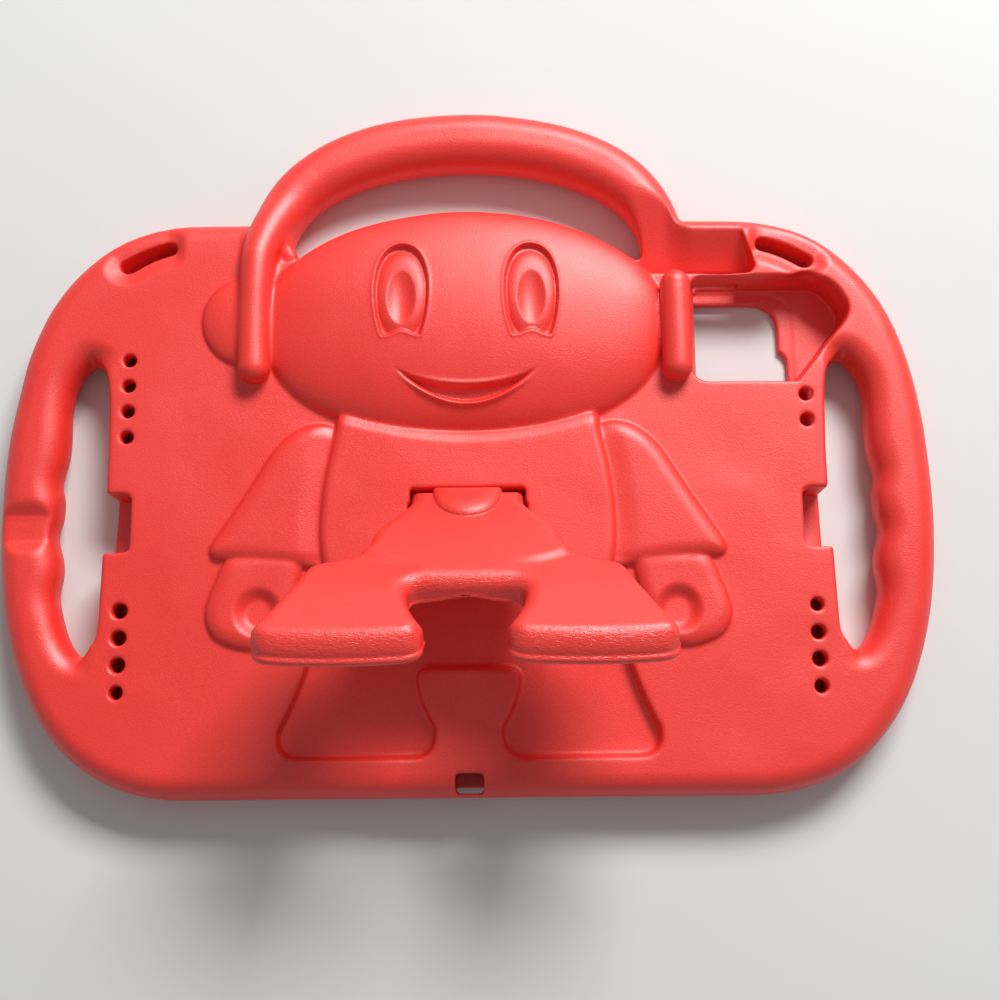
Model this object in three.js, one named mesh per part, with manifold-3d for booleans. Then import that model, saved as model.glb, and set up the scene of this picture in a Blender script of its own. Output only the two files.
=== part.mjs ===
// Kids tablet case of moulded foam, lying on its front with its back up and its stand folded out.
// Millimetres, +Z up. The tablet's middle is at x = 0, y = 0 while the case is being shaped. At the
// end both pieces move so that the origin is under the middle of the whole case.
import * as THREE from "three";
import { mergeVertices } from "three/addons/utils/BufferGeometryUtils.js";
import Module from "manifold-3d";

const wasm = await Module();
wasm.setup();

// Tablet that the case is made for
const tabletLength = 248;
const tabletWidth = 179;
const tabletThickness = 7.25;
const tabletGap = 0.75;
const tabletCorner = 11;

// Walls round the tablet
const frontLip = 3;
const backWall = 9;
const sideWall = 7;
const topWall = 26.5;
const bottomWall = 8.5;
const lipSide = 2.3;
const lipEnd = 4.2;
const lipCorner = 5.4;
const cornerTab = 24;
const edgeRound = 8;
const smallRound = 1.2;

// Side grips: one closed loop round each end of the case
const fingerGap = 18.4;
const gripWidth = 21.2;
const gripMiddle = 5;
const openingTop = 61.7;
const openingBottom = -47.4;
const openingTip = 8;
const fingerPitch = 22.4;
const fingerMiddle = 6.4;
const fingerSwell = 1.2;
const loopTopFlat = 98;
const loopBottomFlat = 101;
const loopTopEase = 60;
const loopBottomEase = 50;
const loopSideEase = 59;
const loopDip = 101.5;

// Groove across the left grip
const bandGrooveMiddle = -1;
const bandGrooveWidth = 15;
const bandGrooveDepth = 2.6;

// Top grip, shaped as the band of a pair of headphones
const bandTop = 161.7;
const bandHalf = 84;
const bandGrip = 22.5;
const bandFootGrip = 17;
const bandFoot = 104;
const bandRound = 8;
const bandRoot = 15;
const bandLean = 2;
const bandShoulder = 0.7;
const bandInnerShoulder = 0.63;
const bandFullness = 0.54;

// Ear pad and the two arms of the headphones
const armX = 78;
const armRadius = 5.8;
const armEnd = 56;
const armTop = 89;
const armLift = 3.4;
const armBow = 0.6;
const armLean = 6;
const armClimb = 21;
const armBend = 3;
const padX = 81;
const padY = 76;
const padRadius = 17.5;
const padRise = 5;

// Figure in relief: a puffed oval head
const headY = 76.2;
const headHalf = 74;
const headRise = 42.3;
const chinDrop = 47;
const chinFullness = 2.4;
const headPuff = 15;
const headSink = 2;

// Face: oval eyes in a ring groove, and a crescent mouth
const eyeX = 23.8;
const eyeTop = 101.5;
const eyeBottom = 66.5;
const eyeHalf = 10.4;
const eyeGroove = 1.6;
const grooveDepth = 1.5;
const irisY = 81;
const irisHalf = 4.4;
const irisRise = 9.8;
const irisDepth = 2;
const mouthHalf = 25.7;
const mouthCornerY = 54.2;
const mouthUpperY = 48;
const mouthLowerY = 42.5;
const mouthDepth = 2.2;

// Torso and sleeves
const torsoRise = 4.6;
const torsoRound = 3.4;
const torsoHalf = 55.5;
const torsoShoulder = 48.5;
const torsoTop = 38;
const collarY = 31.7;
const torsoFoot = -20;
const torsoCorner = 6;
const torsoChest = 16;
const torsoWaist = 4;
const torsoBulge = 2;
const sleeveRise = 4;
const sleeveRound = 3;
const sleeveInner = 50;
const sleeveOuter = 92;
const sleeveTop = 35.4;
const sleeveCuff = -15;
const sleeveHidden = 10;
const sleeveCap = 6;
const sleeveCorner = 4;

// Places on a sleeve's outer edge, as shares of its run outwards and of its drop to the cuff
const sleeveShoulder = [0.3, 0.1];
const sleeveUpperArm = [0.6, 0.4];
const sleeveElbow = [0.8, 0.66];
const sleeveHem = [1, 0.86];

// Hands
const handRise = 3;
const handRound = 2.6;
const handOuter = 94.8;
const handBottom = -46.5;
const palmX = 75;
const palmY = -33.3;
const palmRadius = 5.8;
const palmDepth = 4;
const fistHalf = 14;
const fistEase = 3;
const wristUp = 4;

// Stand: the figure's hips and legs, hinged in a slot in the torso
const standLength = 89;
const standThickness = 10.5;
const standRound = 3.2;
const standCorner = 6;
const standNeck = 20;
const standNeckLength = 10;
const standHip = 34;
const standHipAt = 38;
const standKnee = 54;
const standKneeAt = 51;
const standToe = 67;
const standToeRise = 5;
const standCrotchAt = 55.5;
const standCrotch = 16;
const standInstep = 19;
const standInstepAt = 64;
const standInnerToe = 14;
const standNeckEase = 6;
const standHipEase = 2;
const standHipDrop = 4;
const standThighIn = 5;
const standThighRise = 6.5;
const standKneeRound = 1;
const standShin = 3;
const standInstepEase = 8;
const standSpread = 47;
const hingeY = 7.1;
const hingeRadius = 3.6;
const hingeRun = 0.5;
const pinRadius = 2.3;
const pinLength = 4;
const pinGap = 0.4;
const nubHalf = 12.3;
const nubFrom = 8;
const nubReach = 20;
const nubRise = 1.4;
const nubRound = 1;
const wellDepth = 5;
const wellGap = 1.7;
const slotCorner = 1;

// Cut-outs for the tablet's camera, buttons, port and speakers
const windowLeft = 83.7;
const windowTop = 92.1;
const windowBottom = 51.3;
const windowCorner = 7;
const windowFarX = 142.5;
const windowFarY = 75.5;
const windowFarEase = 4.5;
const buttonLeft = 69.3;
const buttonRight = 108.2;
const buttonBottom = 93.7;
const buttonTop = 113;
const buttonLean = 4;
const thumbCutX = 80.5;
const thumbCutInner = 64;
const thumbCutTop = 124.5;
const buttonFloor = 7;
const buttonCorner = 3.5;
const buttonSlotLength = 30;
const portLength = 21.5;
const portDepth = 9.4;
const portCorner = 3;
const micHalf = 5;
const micDepth = 6.8;
const micCorner = 2;
const speakerRadius = 2.6;
const speakerX = 125;
const speakerFirst = 31.9;
const speakerUnderWindow = 36.3;
const speakerPitch = 9.7;
const speakerCount = 4;
const speakerChannel = 2.6;
const channelMargin = 3.5;

// Slots for a neck strap
const strapHalf = 3.1;
const strapLowX = 128.2;
const strapLowY = 98.4;
const strapHighX = 112;
const strapHighY = 105.6;
const strapBow = 1.6;

// Clearances that only keep a cut clear of the face that it starts from
const past = 2;
const ballOverlap = 0.8;

// Steps along the curves, and facets round the curved pieces
const curveSteps = 6;
const roundSteps = 3;
const smallRoundSteps = 2;
const armSteps = 10;
const handSteps = 28;
const headFacets = 36;
const padFacets = 24;
const barFacets = 24;
const armFacets = 12;

// Sizes worked out from the ones above
const standToeAt = standLength - standToeRise;
const pocketHalf = tabletLength / 2 + tabletGap;
const pocketRise = tabletWidth / 2 + tabletGap;
const pocketDepth = tabletThickness + tabletGap;
const wallFloor = frontLip + pocketDepth;
const plateTop = wallFloor + backWall;
const bodyHalf = pocketHalf + sideWall;
const bodyTop = pocketRise + topWall;
const bodyBottom = -pocketRise - bottomWall;
const gripInner = bodyHalf + fingerGap;
const caseHalf = gripInner + gripWidth;
const wellFloor = plateTop - wellDepth;
const standUnder = (wellDepth - torsoRise) / 2 + hingeRadius / 2;
const hingeZ = wellFloor + standUnder + pinGap;
const hingeWall = hingeY + hingeRadius + hingeRun;

// Closed geometry as a solid that can be joined and cut
function solid(geometry) {
  geometry.deleteAttribute("normal");
  geometry.deleteAttribute("uv");
  const merged = mergeVertices(geometry, 1e-4);
  return new wasm.Manifold(
    new wasm.Mesh({
      numProp: 3,
      vertProperties: new Float32Array(merged.attributes.position.array),
      triVerts: new Uint32Array(merged.index.array),
    }),
  );
}

// Outline raised from one height to another, with straight walls
function prism(shape, bottom, top) {
  const geometry = new THREE.ExtrudeGeometry(shape, {
    depth: top - bottom,
    bevelEnabled: false,
    curveSegments: curveSteps,
  });
  return solid(geometry.translate(0, 0, bottom));
}

// The same with its edges rounded inside the outline, at the bottom as well as at the top
function roundedSlab(shape, bottom, top, round, steps = roundSteps) {
  const geometry = new THREE.ExtrudeGeometry(shape, {
    depth: top - bottom - 2 * round,
    bevelThickness: round,
    bevelSize: round,
    bevelOffset: -round,
    bevelSegments: steps,
    curveSegments: curveSteps,
  });
  return solid(geometry.translate(0, 0, bottom + round));
}

// Ball stretched to the three half sizes given
function ellipsoid(x, y, z, halfX, halfY, halfZ, around) {
  const geometry = new THREE.SphereGeometry(1, around, around / 2);
  geometry.rotateX(Math.PI / 2).scale(halfX, halfY, halfZ);
  return solid(geometry.translate(x, y, z));
}

// Round bar along X
function barAlongX(radius, from, to, y, z) {
  const geometry = new THREE.CylinderGeometry(radius, radius, to - from, barFacets);
  return solid(geometry.rotateZ(Math.PI / 2).translate((from + to) / 2, y, z));
}

// Rectangle with rounded corners, from its lower left to its upper right corner
function roundedRectangle(left, bottom, right, top, corner) {
  const shape = new THREE.Shape();
  shape.moveTo(left + corner, bottom);
  shape.lineTo(right - corner, bottom);
  shape.quadraticCurveTo(right, bottom, right, bottom + corner);
  shape.lineTo(right, top - corner);
  shape.quadraticCurveTo(right, top, right - corner, top);
  shape.lineTo(left + corner, top);
  shape.quadraticCurveTo(left, top, left, top - corner);
  shape.lineTo(left, bottom + corner);
  shape.quadraticCurveTo(left, bottom, left + corner, bottom);
  return shape;
}

function oval(x, y, halfX, halfY) {
  const shape = new THREE.Shape();
  shape.absellipse(x, y, halfX, halfY, 0, 2 * Math.PI);
  return shape;
}

// Smooth closed outline through a few points
function smoothOutline(points, steps) {
  const curve = new THREE.CatmullRomCurve3(
    points.map(([x, y]) => new THREE.Vector3(x, y, 0)),
    true,
    "centripetal",
  );
  return new THREE.Shape(
    curve.getPoints(steps).slice(0, -1).map((p) => new THREE.Vector2(p.x, p.y)),
  );
}

function mirrored(piece) {
  return piece.mirror([1, 0, 0]);
}

function bothSides(piece) {
  return piece.add(mirrored(piece));
}

// Outer loop of the case, which the two side grips are part of. Its top edge dips between the
// feet of the top grip, where the head fills it.
function loopOutline() {
  const dipHalf = bandHalf - 0.75 * bandFootGrip;
  const shape = new THREE.Shape();
  shape.moveTo(-loopBottomFlat, bodyBottom);
  shape.lineTo(loopBottomFlat, bodyBottom);
  shape.bezierCurveTo(
    loopBottomFlat + loopBottomEase, bodyBottom,
    caseHalf, gripMiddle - loopSideEase,
    caseHalf, gripMiddle,
  );
  shape.bezierCurveTo(
    caseHalf, gripMiddle + loopSideEase,
    loopTopFlat + loopTopEase, bodyTop,
    loopTopFlat, bodyTop,
  );
  shape.lineTo(dipHalf, bodyTop);
  shape.lineTo(dipHalf, loopDip);
  shape.lineTo(-dipHalf, loopDip);
  shape.lineTo(-dipHalf, bodyTop);
  shape.lineTo(-loopTopFlat, bodyTop);
  shape.bezierCurveTo(
    -loopTopFlat - loopTopEase, bodyTop,
    -caseHalf, gripMiddle + loopSideEase,
    -caseHalf, gripMiddle,
  );
  shape.bezierCurveTo(
    -caseHalf, gripMiddle - loopSideEase,
    -loopBottomFlat - loopBottomEase, bodyBottom,
    -loopBottomFlat, bodyBottom,
  );
  return shape;
}

// Hole inside one side grip. Its outer side swells inwards between the fingers. Its inner side
// lies inside the body, which closes it with a straight wall.
function gripHole(side) {
  const tipX = bodyHalf + openingTip;
  const hidden = bodyHalf - edgeRound - past;
  const points = [
    [hidden, openingBottom + openingTip / 2],
    [tipX - openingTip / 2, openingBottom],
    [tipX + openingTip / 2, openingBottom + openingTip / 2],
  ];
  const from = fingerMiddle - 2 * fingerPitch;
  const swells = 4;
  const stepsPerSwell = 4;
  for (let i = 3; i <= swells * stepsPerSwell; i++) {
    const y = from + (i * fingerPitch) / stepsPerSwell;
    const wave = Math.cos((2 * Math.PI * (y - fingerMiddle)) / fingerPitch);
    const bend = ((y - gripMiddle) / (openingTop - gripMiddle)) ** 4 * openingTip / 3;
    points.push([gripInner - fingerSwell * wave - bend, y]);
  }
  points.push(
    [tipX + openingTip / 2, openingTop - openingTip / 2],
    [tipX, openingTop],
    [hidden, openingTop - openingTip / 2],
  );
  const hole = points.map(([x, y]) => new THREE.Vector2(side * x, y));
  return new THREE.Path(side > 0 ? hole : hole.reverse());
}

function caseLoop() {
  const outline = loopOutline();
  outline.holes.push(gripHole(1), gripHole(-1));
  return roundedSlab(outline, 0, plateTop, edgeRound);
}

// Body that holds the tablet. Its side walls close the holes of the two side grips.
function tabletBody() {
  const bottom = openingBottom - 2 * openingTip;
  const top = openingTop + 2 * openingTip;
  const outline = roundedRectangle(-bodyHalf, bottom, bodyHalf, top, 3 * smallRound);
  return roundedSlab(outline, 0, plateTop, smallRound, smallRoundSteps);
}

// Top grip: an arch that springs from the body on both sides of the head
function topGrip() {
  const inner = bandTop - bandGrip;
  const footInner = bandHalf - bandFootGrip;
  const rise = bandTop - bandFoot;
  const root = bandFoot - bandRoot;
  const shape = new THREE.Shape();
  shape.moveTo(bandHalf, bandFoot);
  shape.bezierCurveTo(
    bandHalf - bandLean, bandFoot + bandShoulder * rise,
    bandFullness * bandHalf, bandTop,
    0, bandTop,
  );
  shape.bezierCurveTo(
    -bandFullness * bandHalf, bandTop,
    -bandHalf + bandLean, bandFoot + bandShoulder * rise,
    -bandHalf, bandFoot,
  );
  shape.lineTo(-bandHalf, root);
  shape.lineTo(-footInner, root);
  shape.lineTo(-footInner, bandFoot);
  shape.bezierCurveTo(
    -footInner + bandLean / 2, bandFoot + bandInnerShoulder * (inner - bandFoot),
    -bandFullness * footInner, inner,
    0, inner,
  );
  shape.bezierCurveTo(
    bandFullness * footInner, inner,
    footInner - bandLean / 2, bandFoot + bandInnerShoulder * (inner - bandFoot),
    footInner, bandFoot,
  );
  shape.lineTo(footInner, root);
  shape.lineTo(bandHalf, root);
  return roundedSlab(shape, 0, plateTop, bandRound);
}

// Arms of the headphones down the sides of the head, with one ear pad on the left. The left arm
// runs up into the top grip, and each arm ends in a ball.
function headphones() {
  const z = plateTop + armLift;
  const section = new THREE.Shape();
  section.absarc(0, 0, armRadius, 0, 2 * Math.PI);
  const path = new THREE.CatmullRomCurve3([
    new THREE.Vector3(-armX + armLean, bandFoot + armClimb, plateTop - armRadius),
    new THREE.Vector3(-armX, bandFoot + armBend, plateTop - armRadius / 2),
    new THREE.Vector3(-armX - armBow, armTop, z),
    new THREE.Vector3(-armX - armBow, armEnd + ballOverlap, z),
  ]);
  const leftArm = new THREE.ExtrudeGeometry(section, {
    extrudePath: path, steps: armSteps, curveSegments: curveSteps, bevelEnabled: false,
  });
  const rightArm = new THREE.CapsuleGeometry(armRadius, armTop - armEnd, armFacets / 3, armFacets);
  const ball = ellipsoid(-armX - armBow, armEnd, z, armRadius, armRadius, armRadius, armFacets);
  const pad = ellipsoid(-padX, padY, plateTop, padRadius, padRadius, padRise, padFacets);
  return pad
    .add(solid(leftArm))
    .add(ball)
    .add(solid(rightArm.translate(armX, (armTop + armEnd) / 2, z)));
}

// How much further than an ellipse the head's outline reaches in a direction below its middle
function chinReach(x, y) {
  if (y >= 0) return [1, 1];
  const along = Math.hypot(x, y);
  const sum = Math.abs(x / along) ** chinFullness + Math.abs(y / along) ** chinFullness;
  const reach = sum ** (-1 / chinFullness);
  return [reach, (reach * chinDrop) / headRise];
}

// Outline of the head: half an ellipse above its middle and a fuller curve below it
function headOutline() {
  const points = oval(0, 0, 1, 1).getPoints(2 * curveSteps).slice(0, -1);
  return new THREE.Shape(points.map(({ x, y }) => {
    const [wider, longer] = chinReach(x, y);
    return new THREE.Vector2(x * wider * headHalf, headY + y * longer * headRise);
  }));
}

// Head, puffed up from the back. Its upper edge is the lower side of the top grip's hole.
function headPuffed(less) {
  const geometry = new THREE.SphereGeometry(1, headFacets, headFacets / 2);
  geometry.rotateX(Math.PI / 2);
  const place = geometry.getAttribute("position");
  for (let i = 0; i < place.count; i++) {
    const [wider, longer] = chinReach(place.getX(i), place.getY(i));
    place.setX(i, place.getX(i) * wider);
    place.setY(i, place.getY(i) * longer);
  }
  geometry.scale(headHalf - less, headRise - less, headPuff - less);
  return solid(geometry.translate(0, headY, plateTop - headSink));
}

function head() {
  return prism(headOutline(), 0, plateTop - headSink).add(headPuffed(0));
}

function eyeOutline(x, less) {
  const half = eyeHalf - less;
  const top = eyeTop - less;
  const bottom = eyeBottom + less;
  const middle = (top + bottom) / 2;
  const reach = (top - middle) * 0.75;
  const shape = new THREE.Shape();
  shape.moveTo(x - half * 0.7, bottom);
  shape.lineTo(x + half * 0.7, bottom);
  shape.bezierCurveTo(x + half, middle - reach * 0.6, x + half, middle + reach, x, top);
  shape.bezierCurveTo(x - half, middle + reach, x - half, middle - reach * 0.6, x - half * 0.7, bottom);
  return shape;
}

// Cuts of one depth into the puffed head, whatever its height there
function faceCuts() {
  const high = plateTop + headPuff + past;
  const ring = prism(eyeOutline(eyeX, 0), plateTop, high)
    .subtract(prism(eyeOutline(eyeX, eyeGroove), plateTop - past, high + past))
    .subtract(headPuffed(grooveDepth));
  const iris = prism(oval(eyeX, irisY, irisHalf, irisRise), plateTop, high)
    .subtract(headPuffed(irisDepth));
  const smile = new THREE.Shape();
  const middleUpper = 2 * mouthUpperY - mouthCornerY;
  const middleLower = 2 * mouthLowerY - mouthCornerY;
  smile.moveTo(-mouthHalf, mouthCornerY);
  smile.quadraticCurveTo(0, middleLower, mouthHalf, mouthCornerY);
  smile.quadraticCurveTo(0, middleUpper, -mouthHalf, mouthCornerY);
  const mouth = prism(smile, plateTop, high).subtract(headPuffed(mouthDepth));
  return bothSides(ring.add(iris)).add(mouth);
}

function torsoOutline() {
  const shoulderIn = torsoShoulder - torsoCorner;
  const shoulderY = torsoTop - torsoCorner;
  const hip = torsoHalf - torsoWaist;
  const waist = torsoHalf + torsoBulge;
  const shape = new THREE.Shape();
  shape.moveTo(shoulderIn, torsoTop);
  shape.quadraticCurveTo(0, 2 * collarY - torsoTop, -shoulderIn, torsoTop);
  shape.quadraticCurveTo(-torsoShoulder, torsoTop, -torsoShoulder, shoulderY);
  shape.bezierCurveTo(-torsoHalf, torsoChest, -waist, -torsoWaist, -hip, torsoFoot);
  shape.lineTo(hip, torsoFoot);
  shape.bezierCurveTo(waist, -torsoWaist, torsoHalf, torsoChest, torsoShoulder, shoulderY);
  shape.quadraticCurveTo(torsoShoulder, torsoTop, shoulderIn, torsoTop);
  return shape;
}

function torso() {
  return roundedSlab(torsoOutline(), wellFloor - past, plateTop + torsoRise, torsoRound);
}

// Sleeve from the shoulder to the cuff. Its inner end lies inside the torso.
function sleeve() {
  const run = sleeveOuter - sleeveInner;
  const drop = sleeveTop - sleeveCuff;
  const edge = ([out, down]) => [sleeveInner + out * run, sleeveTop - down * drop];
  const shape = new THREE.Shape();
  shape.moveTo(sleeveInner - sleeveHidden, sleeveTop - sleeveCap);
  shape.lineTo(sleeveInner, sleeveTop - sleeveCap / 6);
  shape.quadraticCurveTo(sleeveInner + sleeveCap, sleeveTop + sleeveCap / 6, ...edge(sleeveShoulder));
  shape.bezierCurveTo(...edge(sleeveUpperArm), ...edge(sleeveElbow), ...edge(sleeveHem));
  shape.quadraticCurveTo(
    sleeveOuter + sleeveCorner / 2, sleeveCuff,
    sleeveOuter - sleeveCorner, sleeveCuff,
  );
  shape.lineTo(sleeveInner, sleeveCuff - sleeveCorner);
  return roundedSlab(shape, wellFloor, plateTop + sleeveRise, sleeveRound);
}

// Fist: a ring round a small hollow
function hand() {
  const wrist = sleeveCuff + wristUp;
  const outline = smoothOutline([
    [palmX - fistHalf, wrist],
    [palmX + fistHalf - fistEase, wrist],
    [handOuter - fistEase, (wrist + palmY) / 2],
    [handOuter, palmY - fistEase],
    [palmX + fistHalf - fistEase, handBottom + fistEase],
    [palmX, handBottom],
    [palmX - fistHalf / 2, (handBottom + palmY) / 2],
    [palmX - fistHalf, palmY + fistEase],
  ], handSteps);
  const top = plateTop + handRise;
  const hollow = prism(oval(palmX, palmY, palmRadius, palmRadius), top - palmDepth, top + past);
  return roundedSlab(outline, wellFloor, top, handRound).subtract(hollow);
}

// Outline of hips and legs in the stand's own plane. X runs across, and Y runs from the hinge to
// the soles. A positive grow gives the well in the back that the closed stand lies in.
function standOutline(grow) {
  const sole = standLength + grow;
  const shape = new THREE.Shape();
  shape.moveTo(0, hingeRadius - grow);
  shape.lineTo(standNeck + grow, hingeRadius - grow);
  shape.lineTo(standNeck + grow, standNeckLength - grow);
  const hipMiddle = (standNeckLength + standHipAt) / 2 - grow;
  shape.bezierCurveTo(
    standNeck + grow + standNeckEase, hipMiddle,
    standHip + grow - standHipEase, hipMiddle,
    standHip + grow, standHipAt - grow,
  );
  shape.quadraticCurveTo(
    standHip + grow + standHipEase, standHipAt - grow + standHipDrop,
    standKnee + grow - standThighIn, standKneeAt - grow - standThighRise,
  );
  shape.quadraticCurveTo(
    standKnee + grow, standKneeAt - grow - standThighIn,
    standKnee + grow + standKneeRound, standKneeAt,
  );
  shape.quadraticCurveTo(standKnee + grow + standShin, standInstepAt, standToe + grow, standToeAt);
  shape.quadraticCurveTo(standToe + grow + standKneeRound, sole, standToe - standCorner, sole);
  shape.lineTo(standInnerToe + standCorner, sole);
  shape.quadraticCurveTo(
    standInnerToe - grow - standHipEase, sole,
    standInnerToe - grow, standToeAt - standHipEase,
  );
  shape.quadraticCurveTo(
    standInstep - grow, standInstepAt + standInstepEase,
    standInstep - grow, standInstepAt,
  );
  shape.quadraticCurveTo(
    standInstep - grow, standCrotchAt + grow,
    standCrotch - grow - standHipEase, standCrotchAt + grow,
  );
  shape.lineTo(0, standCrotchAt + grow);
  return shape;
}

// The outline whole: the half on the other side comes from the same curves
function standWhole(grow) {
  const half = standOutline(grow).getPoints(curveSteps / 2);
  const other = half
    .slice(1, -1)
    .reverse()
    .map((p) => new THREE.Vector2(-p.x, p.y));
  return new THREE.Shape([...half, ...other]);
}

// Well for the closed stand, and the deeper slot that its hinge bar turns in
function standWell() {
  const outline = standWhole(wellGap);
  const well = prism(outline, wellFloor, plateTop + torsoRise + past);
  const placed = well.mirror([0, 1, 0]).translate([0, hingeY, 0]);
  const half = standNeck + hingeRun;
  const slot = prism(
    roundedRectangle(-half, hingeY - hingeRadius - hingeRun - slotCorner, half, hingeWall, slotCorner),
    wallFloor - past, plateTop + torsoRise + past,
  );
  const sockets = barAlongX(
    pinRadius + pinGap, -half - pinLength - pinGap, half + pinLength + pinGap, hingeY, hingeZ,
  );
  return placed.add(slot).add(sockets);
}

// Hollow for the tablet, with the screen open at the front and wider lip at the four corners
function tabletPocket() {
  const pocket = prism(
    roundedRectangle(-pocketHalf, -pocketRise, pocketHalf, pocketRise, tabletCorner),
    frontLip, wallFloor,
  );
  const wide = pocketHalf - lipCorner;
  const high = pocketRise - lipEnd;
  const screen = prism(roundedRectangle(-wide, -high, wide, high, tabletCorner), -past, frontLip + past);
  const sideReach = pocketHalf - lipSide;
  const sideRise = pocketRise - cornerTab;
  const sides = prism(
    roundedRectangle(-sideReach, -sideRise, sideReach, sideRise, tabletCorner / 4),
    -past, frontLip + past,
  );
  return pocket.add(screen).add(sides);
}

// Window over the camera. Past the tablet's corner it widens towards the side grip.
function cameraWindow() {
  const right = pocketHalf - lipSide;
  const shape = new THREE.Shape();
  shape.moveTo(windowLeft + windowCorner, windowBottom);
  shape.lineTo(right, windowBottom);
  shape.lineTo(windowFarX - windowFarEase, windowFarY - windowFarEase);
  shape.quadraticCurveTo(windowFarX, windowFarY, windowFarX - windowFarEase / 2, windowFarY + windowFarEase);
  shape.quadraticCurveTo(windowFarX - windowFarEase, windowTop, windowFarX - 3 * windowFarEase, windowTop);
  shape.lineTo(windowLeft + windowCorner, windowTop);
  shape.quadraticCurveTo(windowLeft, windowTop, windowLeft, windowTop - windowCorner);
  shape.lineTo(windowLeft, windowBottom + windowCorner);
  shape.quadraticCurveTo(windowLeft, windowBottom, windowLeft + windowCorner, windowBottom);
  return prism(shape, frontLip, plateTop + past);
}

// Recess over the tablet's buttons, open to the tablet through a slot. It leans at its right end,
// and its left end cuts into the right foot of the top grip, for the thumb.
function buttonRecess() {
  const right = buttonRight - buttonCorner;
  const shape = new THREE.Shape();
  shape.moveTo(buttonLeft, buttonBottom);
  shape.lineTo(right, buttonBottom);
  shape.quadraticCurveTo(buttonRight, buttonBottom, buttonRight, buttonBottom + buttonCorner);
  shape.lineTo(buttonRight - buttonLean, buttonTop - buttonCorner);
  shape.quadraticCurveTo(buttonRight - buttonLean, buttonTop, right - buttonLean, buttonTop);
  shape.lineTo(thumbCutX, buttonTop);
  shape.quadraticCurveTo(thumbCutX - 1, thumbCutTop, (thumbCutX + thumbCutInner) / 2, thumbCutTop);
  shape.lineTo(thumbCutInner, thumbCutTop);
  shape.lineTo(thumbCutInner, buttonBottom + buttonLeft - thumbCutInner);
  const recess = prism(shape, buttonFloor, plateTop + headPuff);
  const middle = (buttonLeft + buttonRight) / 2;
  const slot = prism(
    roundedRectangle(
      middle - buttonSlotLength / 2, pocketRise - past,
      middle + buttonSlotLength / 2, buttonBottom + past, slotCorner,
    ),
    buttonFloor, wallFloor,
  );
  return recess.add(slot);
}

// Notch in each short side for the port
function portNotch() {
  const from = bodyHalf - portDepth;
  return prism(
    roundedRectangle(from, -portLength / 2, bodyHalf + portDepth, portLength / 2, portCorner),
    frontLip, plateTop + past,
  );
}

// Notch in the bottom edge for the microphone
function micNotch() {
  const deep = bodyBottom + bottomWall;
  return prism(
    roundedRectangle(-micHalf, deep - micDepth, micHalf, deep + micCorner, micCorner),
    frontLip, plateTop + past,
  );
}

// Rows of speaker holes near the corners, each over a channel beside the tablet
function speakerHoles(side, group, from, count) {
  const holes = [];
  for (let i = 0; i < count; i++) {
    const y = group * (from + i * speakerPitch);
    const round = oval(side * speakerX, y, speakerRadius, speakerRadius);
    holes.push(prism(round, frontLip + past, plateTop + past));
  }
  const first = group * (from - channelMargin);
  const last = group * (from + (count - 1) * speakerPitch + channelMargin);
  const inner = side * (speakerX - speakerChannel);
  const outer = side * (speakerX + speakerChannel);
  const channel = prism(
    roundedRectangle(
      Math.min(inner, outer) - slotCorner, Math.min(first, last),
      Math.max(inner, outer) + slotCorner, Math.max(first, last), slotCorner,
    ),
    frontLip, wallFloor + speakerChannel,
  );
  return holes.reduce((all, hole) => all.add(hole), channel);
}

// Slot for a neck strap, bowed along the corner of the case
function strapSlot() {
  const low = new THREE.Vector2(strapLowX, strapLowY);
  const high = new THREE.Vector2(strapHighX, strapHighY);
  const along = high.clone().sub(low).normalize();
  const across = new THREE.Vector2(along.y, -along.x).multiplyScalar(strapHalf);
  const bow = across.clone().setLength(strapBow);
  const middle = low.clone().add(high).multiplyScalar(0.5).add(bow);
  const outer = [low.clone().add(across), middle.clone().add(across), high.clone().add(across)];
  const inner = [high.clone().sub(across), middle.clone().sub(across), low.clone().sub(across)];
  const angle = Math.atan2(across.y, across.x);
  const shape = new THREE.Shape();
  shape.moveTo(outer[0].x, outer[0].y);
  shape.quadraticCurveTo(outer[1].x, outer[1].y, outer[2].x, outer[2].y);
  shape.absarc(high.x, high.y, strapHalf, angle, angle + Math.PI);
  shape.quadraticCurveTo(inner[1].x, inner[1].y, inner[2].x, inner[2].y);
  shape.absarc(low.x, low.y, strapHalf, angle + Math.PI, angle + 2 * Math.PI);
  return prism(shape, -past, plateTop + past);
}

// Shallow groove across the left grip
function bandGroove() {
  const run = gripWidth + 2 * past;
  const radius = (bandGrooveWidth ** 2 / 4 + bandGrooveDepth ** 2) / (2 * bandGrooveDepth);
  return barAlongX(
    radius, -caseHalf - past, -caseHalf - past + run,
    bandGrooveMiddle, plateTop - bandGrooveDepth + radius,
  );
}

function makeCaseShell() {
  const relief = torso()
    .add(bothSides(sleeve().add(hand())))
    .add(headphones())
    .add(head().subtract(faceCuts()));
  const body = caseLoop()
    .add(tabletBody())
    .add(topGrip())
    .add(relief);
  const cuts = tabletPocket()
    .add(cameraWindow())
    .add(buttonRecess())
    .add(bothSides(portNotch().add(strapSlot())))
    .add(micNotch())
    .add(speakerHoles(-1, 1, speakerFirst, speakerCount))
    .add(speakerHoles(-1, -1, speakerFirst, speakerCount))
    .add(speakerHoles(1, -1, speakerFirst, speakerCount))
    .add(speakerHoles(1, 1, speakerUnderWindow, speakerCount / 2))
    .add(bandGroove());
  return body.subtract(cuts).subtract(standWell());
}

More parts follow.
